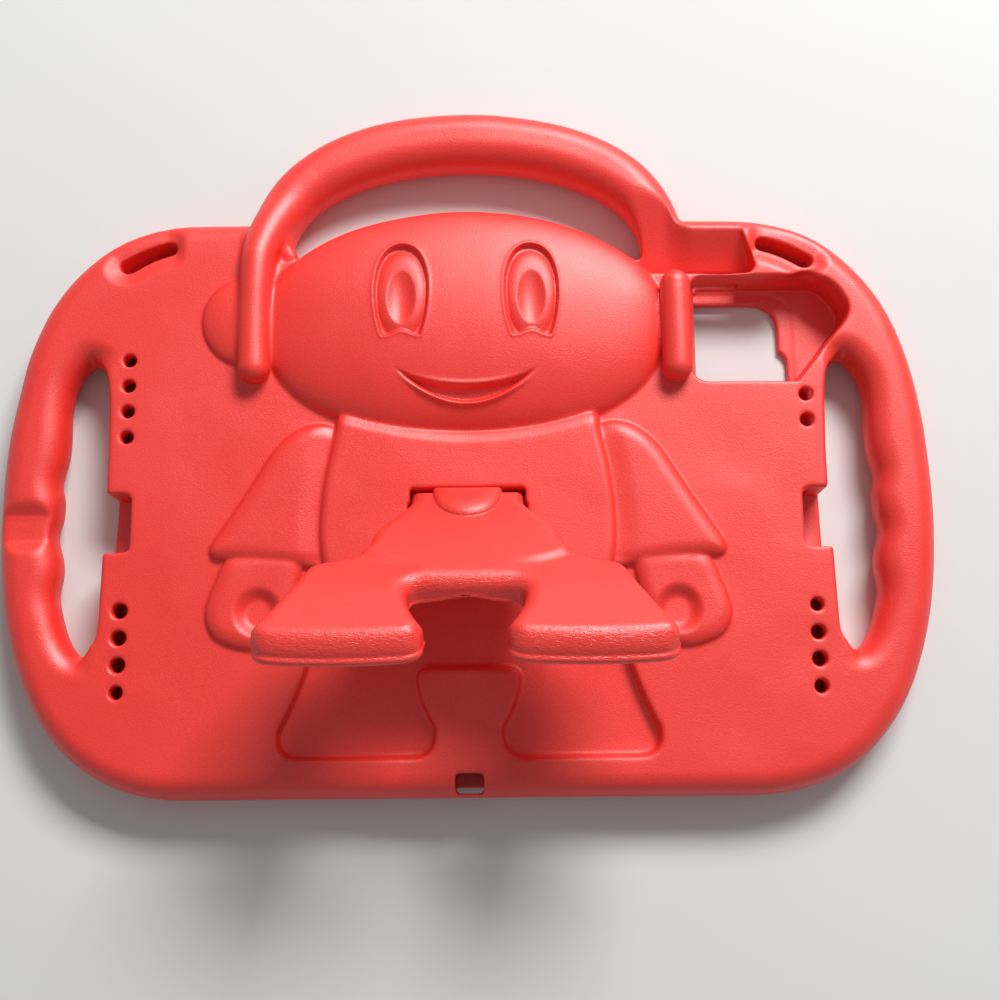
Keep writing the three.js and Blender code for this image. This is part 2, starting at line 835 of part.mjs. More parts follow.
// Stand lying closed, with its hinge on the X axis
function makeStand() {
  const top = standThickness - standUnder;
  const legs = roundedSlab(standWhole(0), -standUnder, top, standRound).mirror([0, 1, 0]);
  const bar = barAlongX(hingeRadius, -standNeck, standNeck, 0, 0);
  const pins = barAlongX(pinRadius, -standNeck - pinLength, standNeck + pinLength, 0, 0);
  const neck = prism(
    roundedRectangle(-standNeck, -hingeRadius - standRound - slotCorner, standNeck, 0, slotCorner),
    -standUnder, hingeRadius,
  );
  const disc = oval(0, 0, nubHalf, nubReach);
  const nub = roundedSlab(disc, -nubRound, top + nubRise - nubRound, nubRound, smallRoundSteps);
  const keep = prism(
    roundedRectangle(-nubHalf, -nubFrom - nubReach, nubHalf, -nubFrom, nubRound),
    -nubRound, top + nubRise,
  );
  return legs.add(bar).add(pins).add(neck).add(nub.translate([0, -nubFrom, 0]).intersect(keep));
}

function foamMesh(name, piece, colour) {
  const made = piece.getMesh();
  const geometry = new THREE.BufferGeometry();
  geometry.setAttribute("position", new THREE.BufferAttribute(new Float32Array(made.vertProperties), 3));
  geometry.setIndex(new THREE.BufferAttribute(new Uint32Array(made.triVerts), 1));
  const material = new THREE.MeshStandardMaterial({ color: colour, roughness: 0.55, metalness: 0 });
  const mesh = new THREE.Mesh(geometry, material);
  mesh.name = name;
  return mesh;
}

const tabletCase = new THREE.Group();
tabletCase.position.y = -(bandTop + bodyBottom) / 2;

const shell = foamMesh("case_shell", makeCaseShell(), 0xf0483f);
tabletCase.add(shell);

const stand = foamMesh("kickstand", makeStand(), 0xee443c);
stand.position.set(0, hingeY, hingeZ);
stand.rotation.x = THREE.MathUtils.degToRad(-standSpread);
tabletCase.add(stand);

export default tabletCase;
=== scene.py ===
import itertools
import math

import bpy
import numpy as np
from mathutils import Matrix, Vector


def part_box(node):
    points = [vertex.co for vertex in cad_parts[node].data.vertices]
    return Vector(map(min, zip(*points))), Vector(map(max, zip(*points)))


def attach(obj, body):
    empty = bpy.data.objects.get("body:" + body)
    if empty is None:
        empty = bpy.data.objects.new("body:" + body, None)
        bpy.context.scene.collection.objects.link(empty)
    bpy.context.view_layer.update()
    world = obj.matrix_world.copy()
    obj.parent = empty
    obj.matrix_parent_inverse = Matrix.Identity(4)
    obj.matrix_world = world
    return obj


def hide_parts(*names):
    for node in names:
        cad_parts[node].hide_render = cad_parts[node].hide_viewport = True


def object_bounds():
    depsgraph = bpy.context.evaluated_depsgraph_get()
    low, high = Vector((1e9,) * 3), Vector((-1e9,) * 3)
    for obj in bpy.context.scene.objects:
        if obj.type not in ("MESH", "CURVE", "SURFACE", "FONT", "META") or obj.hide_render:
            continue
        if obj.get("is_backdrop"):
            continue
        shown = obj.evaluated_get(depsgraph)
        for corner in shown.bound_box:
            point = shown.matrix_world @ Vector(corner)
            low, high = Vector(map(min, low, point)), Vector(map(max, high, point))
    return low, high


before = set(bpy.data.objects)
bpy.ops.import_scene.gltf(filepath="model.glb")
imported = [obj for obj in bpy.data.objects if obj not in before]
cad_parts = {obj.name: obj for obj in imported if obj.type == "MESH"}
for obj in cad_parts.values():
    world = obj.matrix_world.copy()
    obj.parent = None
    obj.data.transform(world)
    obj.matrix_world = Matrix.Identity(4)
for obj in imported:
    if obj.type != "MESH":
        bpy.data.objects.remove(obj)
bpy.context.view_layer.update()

# Case shell
# One moulding of closed-cell foam: a tray round the tablet, two side grips, a top grip and a
# figure in low relief on the back. It is pressed in one mould, so every edge of it is soft.
# All sizes here are millimetres, with the tablet's middle at x = 0, y = 0 and the table at z = 0.
MM = 0.001
shell_low, shell_high = (np.array(corner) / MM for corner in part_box("case_shell"))
band_top = 161.7
tablet_y = shell_high[1] - band_top
case_half = shell_high[0]
body_bottom = shell_low[1] - tablet_y
body_top = 116.75
plate_top = 20
front_lip = 3
wall_floor = 11
body_half = 131.75
grip_middle = 5
grip_round = 9
wall_soft = 1.8
past = 3  # room that the grid leaves round the foam
empty = 60  # distance that stands for no foam near


def outline(start, *legs, steps=10):
    """Closed outline. A leg is a point, or a curve's one or two handles and its end."""
    points = [np.array(start, float)]
    for leg in legs:
        knots = [points[-1]] + [np.array(p, float) for p in leg]
        degree = len(knots) - 1
        share = np.linspace(0, 1, 2 if degree == 1 else steps + 1)[1:, None]
        weights = [
            math.comb(degree, i) * share**i * (1 - share) ** (degree - i) for i in range(degree + 1)
        ]
        points.extend(sum(w * k for w, k in zip(weights, knots)))
    return np.array(points)


def smooth_outline(knots, steps=6):
    """Closed outline that runs smoothly through a few points."""
    knots = np.array(knots, float)
    share = np.linspace(0, 1, steps, endpoint=False)[:, None]
    before, after, next_but_one = (np.roll(knots, k, axis=0) for k in (1, -1, -2))
    points = []
    for a, b, c, d in zip(before, knots, after, next_but_one):
        bend = (2 * a - 5 * b + 4 * c - d) * share**2 + (3 * b - a - 3 * c + d) * share**3
        points.extend(b + ((c - a) * share + bend) / 2)
    return np.array(points)


def rectangle(left, bottom, right, top, corner):
    """Closed outline of a rectangle with rounded corners."""
    return outline(
        (left + corner, bottom),
        [(right - corner, bottom)],
        [(right, bottom), (right, bottom + corner)],
        [(right, top - corner)],
        [(right, top), (right - corner, top)],
        [(left + corner, top)],
        [(left, top), (left, top - corner)],
        [(left, bottom + corner)],
        [(left, bottom), (left + corner, bottom)],
    )


def oval(x, y, half_x, half_y, count=48):
    turn = np.linspace(0, 2 * np.pi, count, endpoint=False)
    return np.stack([x + half_x * np.cos(turn), y + half_y * np.sin(turn)], 1)


def mirrored(points):
    """The same outline on the other side of the case."""
    return points * [-1, 1]


def distance(points, xs, ys):
    """Distance from each place of the grid to a closed outline, negative inside it."""
    return distance_at(points, *np.meshgrid(xs, ys, indexing="ij"))


def distance_at(points, x, y):
    """Distance from any places to a closed outline, negative inside it."""
    nearest = np.full(x.shape, 1e9)
    inside = np.zeros(x.shape, bool)
    for (ax, ay), (bx, by) in zip(points, np.roll(points, -1, axis=0)):
        run, rise = bx - ax, by - ay
        length = run**2 + rise**2
        if length < 1e-9:
            continue
        along = np.clip(((x - ax) * run + (y - ay) * rise) / length, 0, 1)
        nearest = np.minimum(nearest, (x - ax - along * run) ** 2 + (y - ay - along * rise) ** 2)
        if ay != by:
            inside ^= ((ay > y) != (by > y)) & (x < run * (y - ay) / rise + ax)
    return (np.where(inside, -1, 1) * np.sqrt(nearest)).astype(np.float32)


def slab(flat, zs, low, high, soft, draft=0):
    """Distance to an outline that is raised from low to high, with its edges rounded by soft.
    With a draft it narrows downwards from the plate."""
    side = flat[:, :, None] + soft + draft * np.maximum(plate_top - zs, 0)
    up = np.abs(zs - (low + high) / 2) - (high - low) / 2 + soft
    outside = np.hypot(np.maximum(side, 0), np.maximum(up, 0))
    return outside + np.minimum(np.maximum(side, up), 0) - soft


def melt(a, b, soft):
    """The nearer of two skins, flowing into each other over soft millimetres."""
    if not soft:
        return np.minimum(a, b)
    near = np.maximum(soft - np.abs(a - b), 0) / soft
    return np.minimum(a, b) - near * near * soft / 4


def ramp(values, start, end):
    """Runs smoothly from 0 at the start to 1 at the end."""
    share = np.clip((values - start) / (end - start), 0, 1)
    return share * share * (3 - 2 * share)


def evened(rough, xs, ys, zs):
    """A skin given by any smooth function that is zero on it, turned into distances."""
    slopes = np.gradient(rough, xs, ys, zs)
    steepness = np.sqrt(sum(s * s for s in slopes))
    return (rough / np.maximum(steepness, 1e-4)).astype(np.float32)


def spaced(low, high, coarse, fine_low, fine_high, fine):
    """Places along one side of the mould's grid, closer together over the part with fine detail."""
    return np.concatenate([
        np.linspace(low, fine_low, round((fine_low - low) / coarse), endpoint=False),
        np.linspace(fine_low, fine_high, round((fine_high - fine_low) / fine), endpoint=False),
        np.linspace(fine_high, high, round((high - fine_high) / coarse)),
    ]).astype(np.float32)


class Mould:
    """A block of space round a foam piece, with the distance to its skin, negative in the foam."""

    def __init__(self, xs, ys, zs):
        self.xs, self.ys, self.zs = xs, ys, zs
        self.skin = np.full((len(xs), len(ys), len(zs)), empty, np.float32)

    def patch(self, points, reach=6):
        """The part of the grid that lies round an outline."""
        low, high = points.min(0) - reach, points.max(0) + reach
        across = slice(*np.searchsorted(self.xs, (low[0], high[0])))
        along = slice(*np.searchsorted(self.ys, (low[1], high[1])))
        return (across, along), self.xs[across], self.ys[along]

    def add(self, place, shape, blend=0):
        self.skin[place] = melt(self.skin[place], shape, blend)

    def cut(self, place, shape, blend=0):
        self.skin[place] = -melt(-self.skin[place], shape, blend)

    def rise(self, points, low, high, soft, blend=0):
        """Adds an outline raised from low to high."""
        place, xs, ys = self.patch(points)
        self.add(place, slab(distance(points, xs, ys), self.zs, low, high, soft), blend)

    def sink(self, points, low, high, soft=0.2, blend=0.6, draft=0):
        """Cuts an outline out from low to high."""
        place, xs, ys = self.patch(points)
        self.cut(place, slab(distance(points, xs, ys), self.zs, low, high, soft, draft), blend)

    def press(self, place, depth):
        """Lowers the upper side of the foam by a depth that may differ from place to place."""
        self.skin[place] += depth[:, :, None] * ramp(self.zs, 9, 15)

    def puff(self, points, base, rise, ease, blend=0.8, lowered=None):
        """Adds an outline that swells from its edge to its full rise over a distance of ease."""
        place, xs, ys = self.patch(points)
        edge = distance(points, xs, ys)
        share = np.clip(-edge / ease, 0, 1)
        height = np.where(edge < 0, rise * np.sqrt(1 - (1 - share) ** 2 + 1e-6), -2 * edge)
        if lowered:
            height -= lowered(xs[:, None], ys[None, :]) * (edge < 0)
        swell = self.zs - base - height[:, :, None]
        shape = np.maximum(evened(swell, xs, ys, self.zs), edge[:, :, None])
        self.add(place, np.maximum(shape, base - 8 - self.zs), blend)

    def normals(self, points):
        """Directions of the skin at some places, read from the distances round them."""
        grid = (self.xs, self.ys, self.zs)
        cells, shares = [], []
        for places, along in zip(grid, points.T):
            cell = np.clip(np.searchsorted(places, along) - 1, 1, len(places) - 3)
            cells.append(cell)
            shares.append((along - places[cell]) / (places[cell + 1] - places[cell]))
        slope = np.zeros((len(points), 3))
        for corner in itertools.product((0, 1), repeat=3):
            weight = np.prod([s if c else 1 - s for s, c in zip(shares, corner)], 0)
            at = [cell + c for cell, c in zip(cells, corner)]
            for axis, places in enumerate(grid):
                before, after = list(at), list(at)
                before[axis], after[axis] = at[axis] - 1, at[axis] + 1
                step = places[after[axis]] - places[before[axis]]
                rise = self.skin[tuple(after)] - self.skin[tuple(before)]
                slope[:, axis] += weight * rise / step
        return slope / np.maximum(np.linalg.norm(slope, axis=1, keepdims=True), 1e-6)

    def faces(self):
        """Points and four-sided faces of the skin: one point in each cell that the skin passes
        through, at the mean of the places where it crosses the cell's edges."""
        skin, grid = self.skin, (self.xs, self.ys, self.zs)
        foam = skin < 0
        cells = tuple(n - 1 for n in skin.shape)
        corners = list(itertools.product((0, 1), repeat=3))
        filled = np.zeros(cells, np.int8)
        for corner in corners:
            filled += foam[tuple(slice(c, c + n) for c, n in zip(corner, cells))]
        at = np.argwhere((filled > 0) & (filled < 8))
        number = np.full(cells, -1, np.int32)
        number[tuple(at.T)] = np.arange(len(at))
        total, crossings = np.zeros((len(at), 3)), np.zeros((len(at), 1))
        for a, b in itertools.combinations(corners, 2):
            if sum(abs(p - q) for p, q in zip(a, b)) != 1:
                continue
            start, end = at + a, at + b
            first, last = skin[tuple(start.T)], skin[tuple(end.T)]
            crosses = ((first < 0) != (last < 0))[:, None]
            share = np.where(crosses[:, 0], first / np.where(first == last, 1, first - last), 0)[:, None]
            here = np.stack([g[i] for g, i in zip(grid, start.T)], 1)
            there = np.stack([g[i] for g, i in zip(grid, end.T)], 1)
            total += np.where(crosses, here + share * (there - here), 0)
            crossings += crosses
        points = total / crossings
        quads = []
        for axis in range(3):
            one, two = (axis + 1) % 3, (axis + 2) % 3
            low, high = [slice(None)] * 3, [slice(None)] * 3
            low[axis], high[axis] = slice(0, -1), slice(1, None)
            before, after = foam[tuple(low)], foam[tuple(high)]
            for leaving in (True, False):
                edges = np.argwhere((before & ~after) if leaving else (after & ~before))
                around = []
                for back_one, back_two in ((1, 1), (0, 1), (0, 0), (1, 0)):
                    cell = edges.copy()
                    cell[:, one] -= back_one
                    cell[:, two] -= back_two
                    around.append(number[tuple(cell.T)])
                quad = np.stack(around, 1)
                quads.append(quad if leaving else quad[:, ::-1])
        return points, np.concatenate(quads)


fine = 0.45
coarse = 0.8
shell = Mould(
    spaced(-case_half - past, case_half + past, coarse, -36, 36, fine),
    spaced(body_bottom - past, band_top + past, coarse, 40, 104, fine),
    np.arange(-past, 37, 0.6, dtype=np.float32),
)

# Outer loop with the two side grips. The finger side of each grip swells between the fingers.
dip_half = 71.2
loop_dip = 102.5
loop = outline(
    (-101, body_bottom),
    [(101, body_bottom)],
    [(151, body_bottom), (case_half, grip_middle - 59), (case_half, grip_middle)],
    [(case_half, grip_middle + 59), (158, body_top), (98, body_top)],
    [(dip_half, body_top)],
    [(dip_half, loop_dip)],
    [(-dip_half, loop_dip)],
    [(-dip_half, body_top)],
    [(-98, body_top)],
    [(-158, body_top), (-case_half, grip_middle + 59), (-case_half, grip_middle)],
    [(-case_half, grip_middle - 59), (-151, body_bottom), (-101, body_bottom)],
    steps=24,
)
opening = smooth_outline([
    (139.3, -47.4), (135.8, -44.6), (133.2, -39.4), (132.5, -20), (131.75, 10), (131.9, 36),
    (132.5, 49), (134.2, 57), (139.9, 61.7), (144.6, 57.8), (147.8, 51), (148.8, 42),
    (148.6, 33), (149.2, 25), (151, 16.7), (149.7, 9), (150, 3.4), (151.5, -3.7),
    (149.5, -11.5), (149, -17.5), (150, -25), (149, -31), (146, -40.4), (142.2, -46.4),
], 4)
place, xs, ys = shell.patch(loop)
flat = distance(loop, xs, ys)
for hole in (opening, mirrored(opening)):
    flat = np.maximum(flat, -distance(hole, xs, ys))
beside = ramp(np.abs(xs), body_half + 2, body_half + 8)[:, None]
beyond = ramp(np.abs(ys - grip_middle), 50, 60)[None, :]
edge_soft = wall_soft + (grip_round - wall_soft) * np.maximum(beside, beyond)
shell.add(place, slab(flat, shell.zs, 0, plate_top, edge_soft[:, :, None]))

# Top grip
band_half = 84
foot_inner = 67
inner_top = 139.2
band_foot = 104
band_root = 89
band = outline(
    (band_half, band_foot),
    [(band_half - 2, 144.4), (45.4, band_top), (0, band_top)],
    [(-45.4, band_top), (2 - band_half, 144.4), (-band_half, band_foot)],
    [(-band_half, band_root)],
    [(-foot_inner, band_root)],
    [(-foot_inner, band_foot)],
    [(1 - foot_inner, 126.2), (-36.2, inner_top), (0, inner_top)],
    [(36.2, inner_top), (foot_inner - 1, 126.2), (foot_inner, band_foot)],
    [(foot_inner, band_root)],
    [(band_half, band_root)],
    steps=24,
)
shell.rise(band, 0, plate_top, 9.4, 2)

# Torso, sleeves and hands. Each is puffed up on its own, with a seam pressed in beside the torso.
relief_base = plate_top - 0.5
torso = outline(
    (42.5, 40.9),
    [(24, 34.3), (0, 34.2)],
    [(-24, 34.3), (-42.5, 40.9)],
    [(-48.6, 41.4), (-48.9, 33.6)],
    [(-52, 20), (-58, -4), (-51.8, -20.5)],
    [(51.8, -20.5)],
    [(58, -4), (52, 20), (48.9, 33.6)],
    [(48.6, 41.4), (42.5, 40.9)],
    steps=16,
)
sleeve = outline(
    (40, 31),
    [(49.4, 35.6)],
    [(61.5, 39), (72, 24.4)],
    [(80, 11)],
    [(90, -4), (93, -9)],
    [(94.5, -14.5), (88, -14.6)],
    [(68, -15.6), (54, -18.6)],
    [(40, -18)],
)
for side in (-1, 1):
    shell.puff(sleeve * [side, 1], relief_base, 4.5, 6.5)
seam_depth = 1.1
place, xs, ys = shell.patch(torso)
seam = seam_depth * ramp(distance(torso, xs, ys), 8, -1)
seam_ends = ramp(ys, -17, -14) * ramp(ys, 36, 32)
shell.press(place, seam * ramp(np.abs(xs), 46, 49)[:, None] * seam_ends[None, :])
hand = smooth_outline([
    (60, -13), (74, -11), (86, -13), (91, -22), (94.3, -33), (91.5, -41.5),
    (84, -45.6), (76, -46.6), (70, -43), (64, -34), (60.5, -24),
])
palm_x = 75
palm_y = -33.4
palm_depth = 3
for side in (-1, 1):
    shell.puff(hand * [side, 1], relief_base, 3.7, 6)
    palm = oval(side * palm_x, palm_y, 5.6, 6)
    place, xs, ys = shell.patch(palm)
    shell.press(place, palm_depth * ramp(distance(palm, xs, ys), 3.6, -1.6))
collar_y = 34.2
collar_rise = 6.4
collar_half = 42.5
bevel_depth = 2.4
bevel_width = 6.4


def collar_line(xs):
    """The torso's upper edge, low in the middle, where it meets the chin."""
    return collar_y + collar_rise * (np.minimum(np.abs(xs), collar_half + 0.5) / collar_half) ** 2


def collar_bevel(xs, ys):
    """How far the torso slopes down towards its upper edge."""
    share = np.clip(1 - (collar_line(xs) - ys) / bevel_width, 0, 1)
    return bevel_depth * share * ramp(np.abs(xs), 49, 43)


shell.puff(torso, relief_base, 5.7, 4, 0.4, collar_bevel)

# Head, puffed up from the plate, with a fuller chin than crown, and cut off along the collar
head_y = 76.2
head_x = -1
head_half = 75.6
crown = 42.3
chin = 45.4
chin_fullness = 2.4
head_base = 19
head_puff = 14
place, xs, ys = shell.patch(oval(head_x, head_y, head_half, chin))
x, y, z = np.meshgrid(xs, ys, shell.zs, indexing="ij", sparse=True)
across, along = np.abs(x - head_x) / head_half, np.abs(y - head_y)
low_half = (across**chin_fullness + (along / chin) ** chin_fullness) ** (2 / chin_fullness)
high_half = across**2 + (along / crown) ** 2
reach = np.where(y < head_y, low_half, high_half)
dome = np.sqrt(reach + (np.maximum(z - head_base, 0) / head_puff) ** 2 + 1e-6) - 1
dome = evened(dome, xs, ys, shell.zs)
dome = np.maximum(dome, -z)
dome = np.maximum(dome, (collar_line(xs)[:, None] - ys[None, :])[:, :, None] - bevel_depth)

# Face: each eye is a recess with a steep wall, a low mound in it and a dish on top of the mound
eye_x = 23.8
eye_bottom = 66.2
eye_top = 101.6
eye_depth = 2.2
dish_depth = 2.2
rim_height = 0.3
eye = outline(
    (-6.8, eye_bottom),
    [(-3, eye_bottom + 0.2), (-3, eye_bottom + 1.8), (0, eye_bottom + 1.8)],
    [(3, eye_bottom + 1.8), (3, eye_bottom + 0.2), (6.8, eye_bottom)],
    [(11.6, 79), (11, eye_top), (0, eye_top)],
    [(-11, eye_top), (-11.6, 79), (-6.8, eye_bottom)],
    steps=16,
)
face = np.zeros((len(xs), len(ys)), np.float32)
for side in (-1, 1):
    edge = distance(eye + [side * eye_x, 0], xs, ys)
    across, along = (xs - side * eye_x)[:, None], ys[None, :]
    mound = 1 - np.clip((across / 9.6) ** 2 + ((along - 82.4) / 17.2) ** 2, 0, 1) ** 3
    dish = np.clip(1 - (across / 5.2) ** 2 - ((along - 80.6) / 10.4) ** 2, 0, 1)
    rim = np.exp(-((edge - 0.8) / 0.55) ** 2)
    face += eye_depth * ramp(edge, 0.3, -0.5) * (1 - 0.85 * mound) - rim_height * rim
    face += dish_depth * dish.astype(np.float32)
mouth_depth = 2.6
lip_height = 1.2
mouth = outline(
    (-26.4, 54.6),
    [(0, 29.2), (26.4, 54.6)],
    [(15, 47.6), (0, 47.6)],
    [(-15, 47.6), (-26.4, 54.6)],
    steps=24,
)
edge = distance(mouth, xs, ys)
lower_lip = np.exp(-((edge - 0.9) / 0.8) ** 2) * ramp(ys, 53, 44)
face += mouth_depth * ramp(edge, 0.2, -1.3) - lip_height * lower_lip
shell.add(place, dome + face[:, :, None], 1.2)

# Headphones: an arm down each side of the head, the left one out of the top grip, and an ear pad
arm_radius = 5.8
arm_z = plate_top + 3.4


def tube(xs, ys, zs, knots):
    """Distance to a round bar through a few points, each with its radius."""
    x, y, z = np.meshgrid(xs, ys, zs, indexing="ij", sparse=True)
    nearest = empty
    for a, b in zip(knots, knots[1:]):
        way = np.subtract(b, a)[:3]
        offset = [c - start for c, start in zip((x, y, z), a)]
        along = np.clip(sum(o * w for o, w in zip(offset, way)) / (way @ way), 0, 1)
        gap = [o - along * w for o, w in zip(offset, way)]
        nearest = np.minimum(nearest, np.sqrt(sum(g * g for g in gap)) - a[3] - along * (b[3] - a[3]))
    return nearest


left_arm = outline(
    (-61, 133, 10.4, 8.8),
    [(-69.4, 125, 11.6, 8.8), (-76, 113, 18, 8), (-78, 100, 22, 6.4)],
    [(-78.9, 92, arm_z, 5.8), (-78.8, 72, arm_z, 5.7), (-78.4, 56.8, arm_z, 6.1)],
    steps=16,
)
right_arm = [(77.6, 87.4, arm_z, arm_radius), (77.6, 56.2, arm_z, arm_radius)]
crease = [(-73.4, 113.6, 15, 4.2), (-70.2, 107.6, 15.8, 3.7), (-67.2, 102.4, 15.2, 3.3)]
pad_x = -81
pad_y = 75.4
pad_radius = 17.4
pad_rise = 4.6
place, xs, ys = shell.patch(oval(pad_x, pad_y, pad_radius, pad_radius))
x, y, z = np.meshgrid(xs, ys, shell.zs, indexing="ij", sparse=True)
beside = ((x - pad_x) ** 2 + (y - pad_y) ** 2) / pad_radius**2
pad = np.sqrt(beside + ((z - plate_top) / pad_rise) ** 2 + 1e-6) - 1
shell.add(place, evened(pad, xs, ys, shell.zs), 0.6)
for knots, blend in ((left_arm, 2.4), (right_arm, 1), (crease, 2)):
    place, xs, ys = shell.patch(np.array([k[:2] for k in knots]), 15)
    shell.add(place, tube(xs, ys, shell.zs, knots), blend)

# Hollow for the tablet, open at the front, with a lip all round that is wider at its corners
shell.sink(rectangle(-124.75, -90.25, 124.75, 90.25, 11), front_lip, wall_floor, 0.3, 0.5)
shell.sink(rectangle(-119.35, -86.05, 119.35, 86.05, 11), -9, front_lip + 2, 0.3, 0.8)
shell.sink(rectangle(-122.45, -68, 122.45, 68, 6), -9, front_lip + 2, 0.3, 0.8)

# Window over the camera, button recess with a cut for the thumb, and the other cut-outs
window_left = 83.9
window_slant = 0.27
window = outline(
    (90.5, 51.3),
    [(122.4, 51.3)],
    [(138, 71)],
    [(144.5, 77.5), (141.5, 83)],
    [(137, 92.1), (129, 92.1)],
    [(90.7, 92.1)],
    [(83.7, 92.1), (83.7, 85.1)],
    [(83.7, 58.3)],
    [(83.7, 51.3), (90.5, 51.3)],
)
place, xs, ys = shell.patch(window)
cut = slab(distance(window, xs, ys), shell.zs, front_lip, plate_top + past, 0.8)
slanted = window_left + window_slant * (plate_top - shell.zs)[None, None, :] - xs[:, None, None]
shell.cut(place, np.maximum(cut, slanted), 1.4)
recess = outline(
    (64, 99),
    [(69.3, 93.7)],
    [(104.7, 93.7)],
    [(108.2, 93.7), (108.2, 97.2)],
    [(104.2, 109.5)],
    [(103.6, 113), (100.7, 113)],
    [(80.5, 113)],
    [(80, 126), (70, 127)],
    [(62, 127)],
    [(63, 108)],
)
recess_floor = 7
recess_low = 93.7
place, xs, ys = shell.patch(recess)
recess_slope = 0.4 + 0.28 * ramp(xs, 75, 86)[:, None, None]
sloped = recess_floor + recess_slope * (ys - recess_low)[None, :, None] - shell.zs
sloped = np.maximum(sloped / np.hypot(1, recess_slope), distance(recess, xs, ys)[:, :, None])
shell.cut(place, sloped, 1.2)
shell.sink(rectangle(73.7, 88, 103.7, 97, 1), 4, wall_floor - 1.5, 0.2, 0.3)
strap = outline(
    (130.6, 100.7),
    [(123, 105.8), (113, 108.6)],
    [(109.4, 108.8), (109.1, 105.6)],
    [(109.2, 103), (112, 102.4)],
    [(118.6, 100.6), (124.8, 96.6)],
    [(128.4, 94.4), (130.6, 97)],
    [(131.9, 98.8), (130.6, 100.7)],
)
strap_dish = 2.6
port = rectangle(122.35, -10.75, 150, 10.75, 3)
for side in (-1, 1):
    points = strap * [side, 1]
    place, xs, ys = shell.patch(points, 12)
    edge = distance(points, xs, ys) + 0.5
    shell.press(place, strap_dish * ramp(edge, 7, 0) * ramp(np.abs(xs), 105, 110)[:, None])
    shell.cut(place, slab(edge, shell.zs, -9, plate_top + past, 0.2), 0.9)
    points = port * [side, 1]
    place, xs, ys = shell.patch(points, 3)
    edge = distance(points, xs, ys)
    shell.cut(place, slab(edge, shell.zs, front_lip, plate_top + past, 0.3), 1.2)
shell.sink(rectangle(-5, -97.3, 5, -90, 2), front_lip, plate_top + past, 0.4, 1)

# Two low ridges on the lip inside the window, along its slanted side
for out, high in ((0, 1.6), (2.6, 0.8)):
    ridge = outline((125.2, 51), [(139.4, 71.4)], [(138.6, 72.4)], [(124.4, 52)]) + [out, 0]
    shell.rise(ridge, 1, front_lip + high, 0.4, 0.5)

# Speaker holes: four rows, each with a channel to the tablet. A row is its side of the case, its
# direction along y, its first hole's distance from the middle and its number of holes.
speaker_x = 125
speaker_radius = 2.35
speaker_pitch = 9.7
channel_half = 3.6
for side, way, first, count in ((-1, 1, 31.9, 4), (-1, -1, 31.9, 4), (1, -1, 31.9, 4), (1, 1, 36.3, 2)):
    x = side * speaker_x
    ends = sorted((way * (first - 3.5), way * (first + (count - 1) * speaker_pitch + 3.5)))
    channel = rectangle(x - channel_half, ends[0], x + channel_half, ends[1], 1)
    shell.sink(channel, front_lip, wall_floor + 2.6, 0.2, 0.4)
    for i in range(count):
        hole = oval(x, way * (first + i * speaker_pitch), speaker_radius, speaker_radius, 24)
        shell.sink(hole, front_lip + 2, plate_top + past, 0.2, 1)

# Flat-bottomed groove across the left grip
groove_y = -1.2
groove_half = 4.8
groove_depth = 3.3
groove_slope = 0.7
place, xs, ys = shell.patch(np.array([(-case_half, -18), (-146, 16)]), 0)
bottom = plate_top - groove_depth + groove_slope * np.maximum(np.abs(ys - groove_y) - groove_half, 0)
shell.cut(place, np.repeat((bottom[:, None] - shell.zs[None, :])[None], len(xs), 0), 1.2)

# Well in the back that the folded stand lies in, and the slot that its root turns in
hinge_y = 7.1
well_floor = 15
stand_length = 89.2
neck = 20
crotch = 59.4


def leg_outline(grow):
    """Hips and legs of the stand in its own plane, from the hinge at 0 to the soles."""
    sole = stand_length + 2.5 * grow
    half = outline(
        (0, 3.6 - grow),
        [(neck + grow, 3.6 - grow)],
        [(neck + grow, 10 - grow)],
        [(25.6 + grow, 22 - grow), (31.4 + grow, 23 - grow), (33.6 + grow, 36 - grow)],
        [(35.6 + grow, 41.6 - grow), (47 + grow, 44 - grow)],
        [(53.4 + grow, 45.4 - grow), (54.8 + grow, 51)],
        [(57.4 + grow, 64), (67 + 0.7 * grow, 82)],
        [(68.5 + 0.7 * grow, sole), (59 + grow / 2, sole)],
        [(20.4, sole)],
        [(12 - grow, sole), (13 - grow, 81)],
        [(19.2 - grow, 71), (19 - grow, 63.6)],
        [(18.6 - grow, crotch + grow), (12.6 - grow, crotch + grow)],
        [(0, crotch + grow)],
    )
    return np.concatenate([half, mirrored(half)[::-1]])


well_room = 1.1
well = leg_outline(well_room) * [1, -1] + [0, hinge_y]
shell.sink(well, well_floor, plate_top + 14, 1.2, 1.6, 0.2)
slot = rectangle(-neck - 0.6, 2.5, neck + 0.6, 10.5, 1.4)
shell.sink(slot, -9, plate_top + 14, 0.4, 1.2)
hinge_z = 17.4
pin_radius = 2.3
pin_end = 24
socket_gap = 0.4
place, xs, ys = shell.patch(rectangle(-pin_end, hinge_y - 2, pin_end, hinge_y + 2, 1))
bore = np.hypot(ys[:, None] - hinge_y, shell.zs[None, :] - hinge_z) - pin_radius
ends = np.abs(xs)[:, None, None] - pin_end
shell.cut(place, np.maximum(bore[None, :, :], ends) - socket_gap, 0.2)


